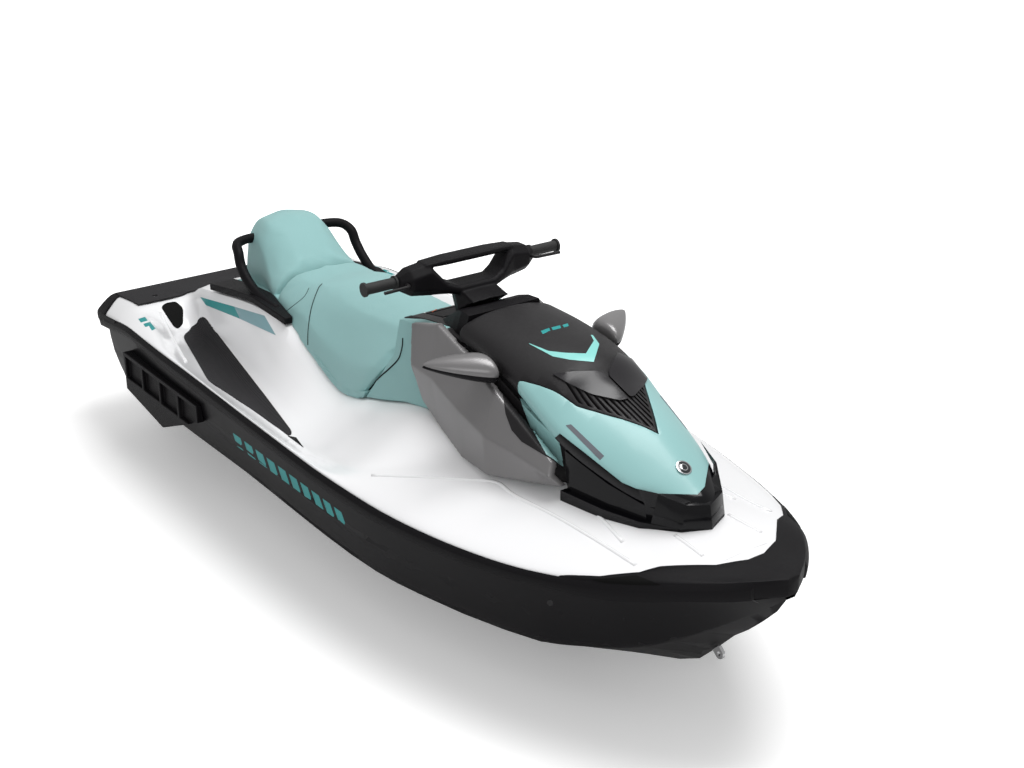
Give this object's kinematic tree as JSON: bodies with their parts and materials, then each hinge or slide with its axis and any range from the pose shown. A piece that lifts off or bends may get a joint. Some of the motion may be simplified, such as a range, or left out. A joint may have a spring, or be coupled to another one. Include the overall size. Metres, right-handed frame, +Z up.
{
  "type": "personal watercraft",
  "caption": "Personal watercraft with a long upholstered seat, handlebar, hinged front cover and jet drive under a swim platform.",
  "frame": {"origin": "amidships on the centreline, at the height of the water when afloat", "axes": "+X forward along the hull, +Y to port, +Z up"},
  "size_m": [3.32, 1.25, 1.0832],
  "materials": {
    "hull_black": "gloss, moulded",
    "deck_white": "gloss gel coat",
    "trim_black": "fine grain, matte",
    "gloss_black": "gloss",
    "hood_black": "satin",
    "hood_pale": "pale blue-green gloss",
    "seat_vinyl": "soft satin vinyl, pale blue-green",
    "knee_vinyl": "soft satin vinyl",
    "mat_grey": "grooved foam mat",
    "handle_black": "fine grain",
    "bin_grey": "moulded",
    "panel_silver": "satin silver-grey",
    "mirror_grey": "satin grey",
    "engine_metal": "cast",
    "pump_metal": "cast",
    "impeller_steel": "machined",
    "bar_steel": "dark coat",
    "grip_rubber": "ribbed",
    "lever_metal": "satin",
    "eye_steel": "polished"
  },
  "bodies": {
    "craft": {"hull": "hull_black", "deck": "deck_white", "rub_rails": "trim_black", "bow_cap": "trim_black", "stern_corner_caps": "trim_black", "foot_mats": "mat_grey", "platform_mat": "mat_grey", "sponsons": "trim_black", "side_trays": "trim_black", "grab_handles": "handle_black", "console": "deck_white", "knee_pads": "knee_vinyl", "storage_bin": "bin_grey", "engine_block": "engine_metal", "side_panels": "panel_silver", "fascia": "gloss_black", "column_cowl": "trim_black", "pump_housing": "pump_metal", "ride_plate": "pump_metal", "intake_grate": "pump_metal", "bow_eye": "eye_steel", "stern_eyes": "eye_steel"},
    "steering": {"handlebar": "bar_steel", "grips": "grip_rubber", "steering_cover": "trim_black", "levers": "lever_metal"},
    "hood": {"hood_centre": "hood_black", "hood_panel": "hood_pale", "mirror_housings": "mirror_grey"},
    "seat": {"seat_base": "trim_black", "seat_cushion_rear": "seat_vinyl", "seat_cushion_front": "seat_vinyl"},
    "glovebox_lid": {"glovebox_lid": "trim_black"},
    "impeller": {"impeller": "impeller_steel"},
    "nozzle": {"steering_nozzle": "pump_metal"},
    "reverse_gate": {"reverse_gate": "trim_black"}
  },
  "joints": [
    {"name": "steering_turn", "type": "hinge", "parent": "craft", "child": "steering", "pos_m": [0.1494, 0, 0.737], "axis": [-0.5299, 0, 0.848], "range_deg": [-25, 25]},
    {"name": "nozzle_turn", "type": "hinge", "parent": "craft", "child": "nozzle", "pos_m": [-1.3949, 0, -0.13], "axis": [0, 0, 1], "range_deg": [-20, 20]},
    {"name": "impeller_spin", "type": "hinge", "parent": "craft", "child": "impeller", "pos_m": [-1.1049, 0, -0.13], "axis": [1, 0, 0], "continuous": true},
    {"name": "reverse_gate_tilt", "type": "hinge", "parent": "craft", "child": "reverse_gate", "pos_m": [-1.35865, 0, -0.13], "axis": [0, -1, 0], "range_deg": [0, 60]},
    {"name": "hood_hinge", "type": "hinge", "parent": "craft", "child": "hood", "pos_m": [1.308, 0, 0.372], "axis": [0, 1, 0], "range_deg": [0, 50]},
    {"name": "seat_hinge", "type": "hinge", "parent": "craft", "child": "seat", "pos_m": [0.03984, 0, 0.535], "axis": [0, 1, 0], "range_deg": [0, 35]},
    {"name": "glovebox_lid_hinge", "type": "hinge", "parent": "craft", "child": "glovebox_lid", "pos_m": [0.15668, 0, 0.586], "axis": [0, 1, 0], "range_deg": [0, 40]}
  ],
  "couplings": [
    {"joint": "nozzle_turn", "follows": "steering_turn", "ratio": -0.8}
  ]
}
